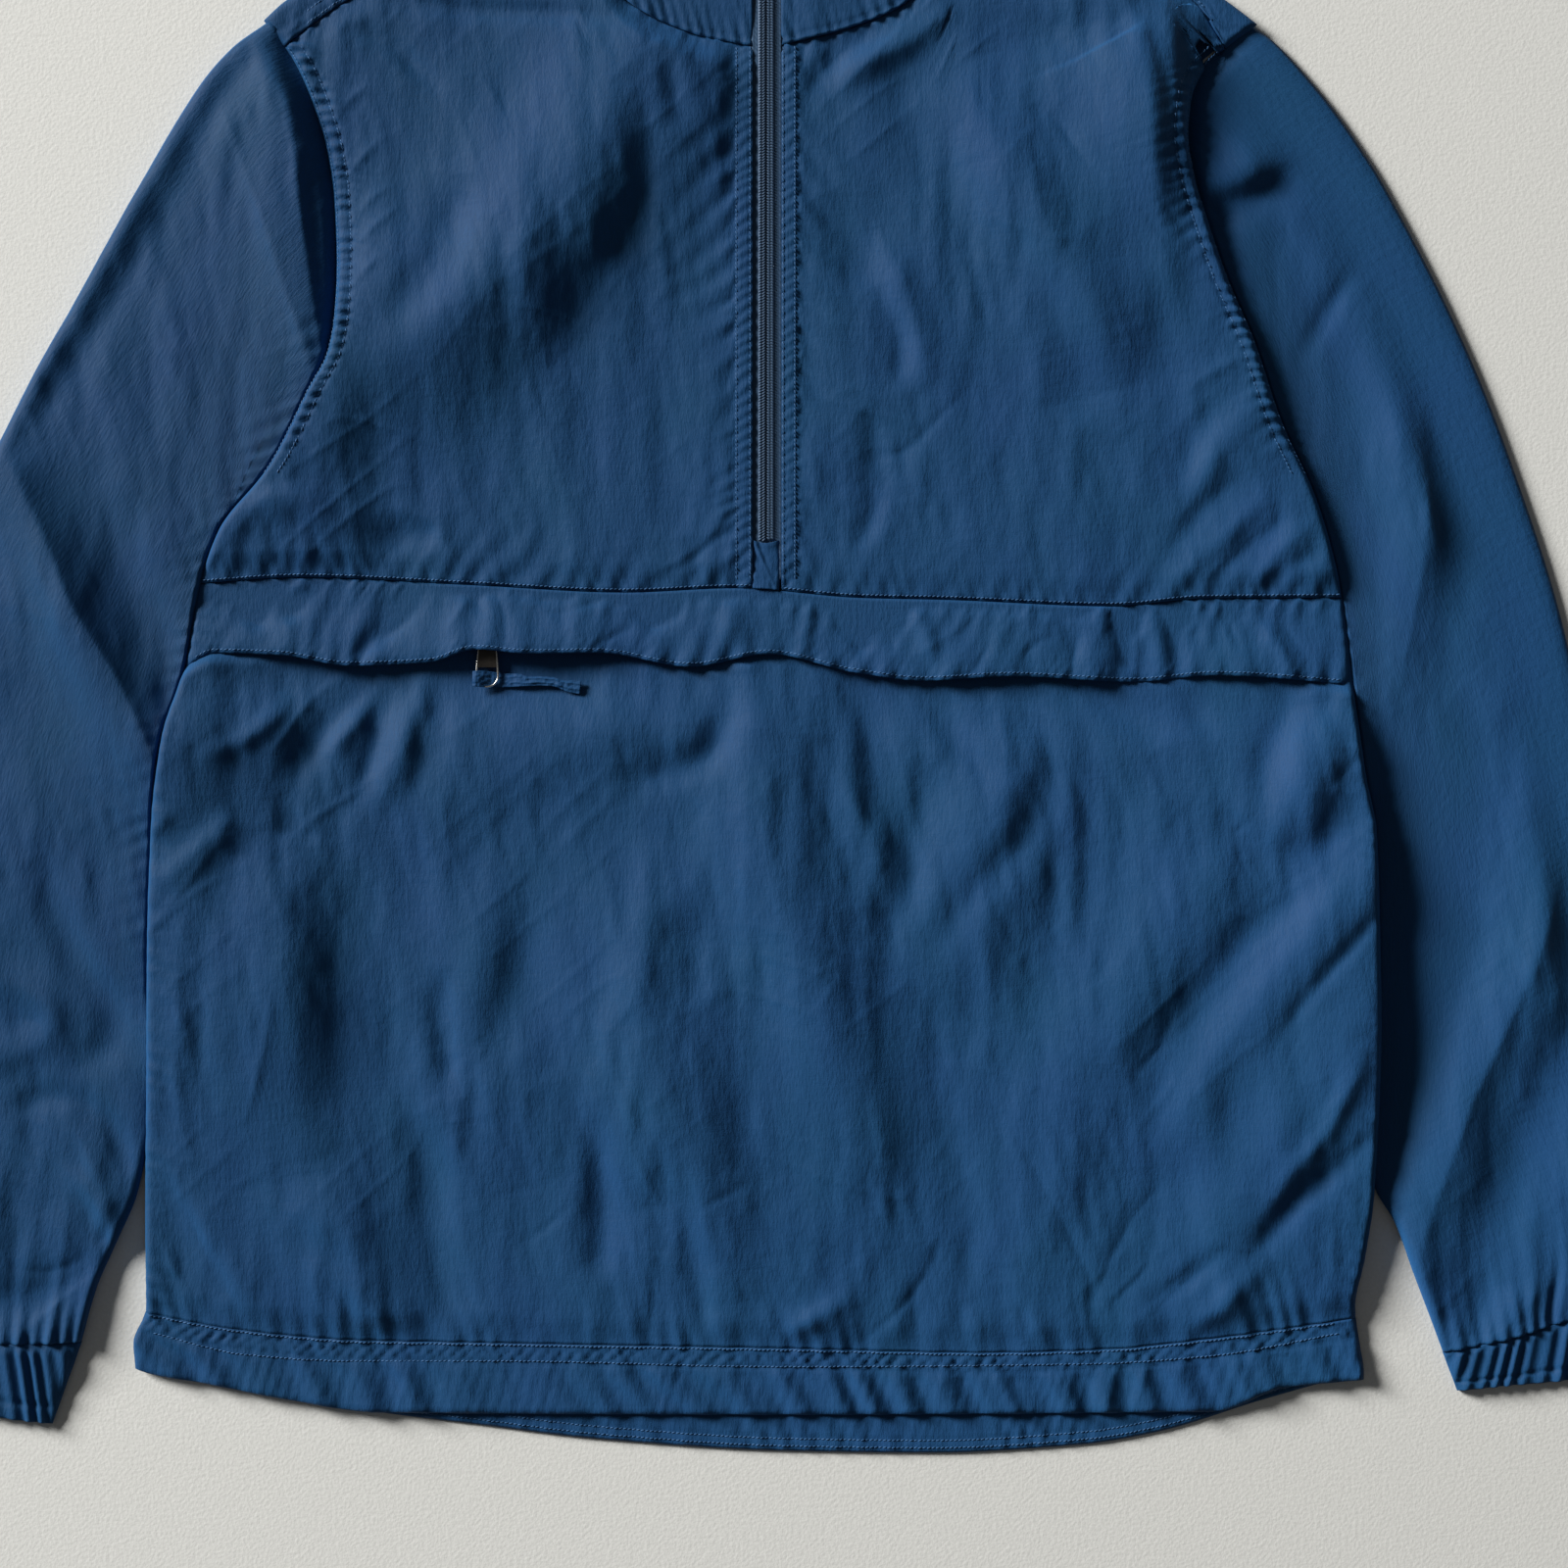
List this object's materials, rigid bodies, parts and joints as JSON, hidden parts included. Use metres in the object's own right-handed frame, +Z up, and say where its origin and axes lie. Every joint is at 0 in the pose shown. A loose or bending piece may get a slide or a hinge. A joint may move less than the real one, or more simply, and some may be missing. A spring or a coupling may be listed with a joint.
{
  "type": "anorak pullover",
  "caption": "Woven pullover anorak with a half zip, stand collar, flapped front pocket and elastic hem and cuffs, laid flat on its back.",
  "frame": {"origin": "middle of the outline seen from above, on the surface that the garment lies on", "axes": "+X to the viewer's right across the garment, +Y towards the collar, +Z up from the surface"},
  "size_m": [0.8642, 0.8017, 0.019],
  "materials": {
    "nylon": "crinkled plain-weave nylon with a soft sheen",
    "zip_tape": "woven polyester tape",
    "zip_coil": "satin polyester coil",
    "zip_metal": "dark plated die-cast metal with bare bright edges"
  },
  "bodies": {
    "garment": {"back_panel": "nylon", "back_hem": "nylon", "front_hem": "nylon", "front_lower": "nylon", "pocket_flap": "nylon", "chest_left": "nylon", "chest_right": "nylon", "shoulder_left": "nylon", "shoulder_right": "nylon", "collar_front_left": "nylon", "collar_front_right": "nylon", "collar_back": "nylon", "sleeve_left": "nylon", "sleeve_right": "nylon", "cuff_left": "nylon", "cuff_right": "nylon", "zip_tape": "zip_tape", "zip_coil": "zip_coil", "zip_end_patch": "nylon", "zip_slider": "zip_metal", "pocket_zip_tape": "zip_tape", "pocket_zip_coil": "zip_coil", "pocket_slider": "zip_metal"},
    "zip_pull_body": {"zip_pull": "zip_metal"},
    "pocket_pull_body": {"pocket_pull": "zip_metal", "pocket_pull_ribbon": "nylon"}
  },
  "joints": [
    {"name": "zip_pull_hinge", "type": "hinge", "parent": "garment", "child": "zip_pull_body", "pos_m": [0.0006, 0.3185, 0.0092], "axis": [-1, 0, 0], "range_deg": [0, 160]},
    {"name": "pocket_pull_hinge", "type": "hinge", "parent": "garment", "child": "pocket_pull_body", "pos_m": [-0.13, -0.013, 0.007], "axis": [-1, 0, 0], "range_deg": [0, 12]}
  ]
}
